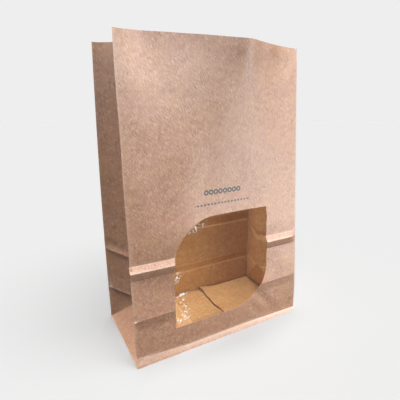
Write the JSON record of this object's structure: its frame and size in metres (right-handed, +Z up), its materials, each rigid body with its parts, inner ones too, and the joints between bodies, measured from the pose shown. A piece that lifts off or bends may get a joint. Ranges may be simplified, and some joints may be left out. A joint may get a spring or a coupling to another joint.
{
  "type": "paper bag with window",
  "caption": "Open block-bottomed kraft paper bag with folded-in sides, standing on its flat base, with a clear film window in the front panel.",
  "frame": {"origin": "on the standing surface, under the middle of the bag's bounding box", "axes": "+Z up to the open mouth, -Y out of the front panel with the window, X across the front panel"},
  "size_m": [0.216, 0.1124, 0.3303],
  "materials": {
    "kraft_paper": "brown kraft paper, matte, machine-glazed on the outside",
    "clear_film": "clear glossy plant-based film, slightly wrinkled"
  },
  "bodies": {
    "root": {"paper_bag": "kraft_paper", "window_film": "clear_film"}
  },
  "joints": []
}
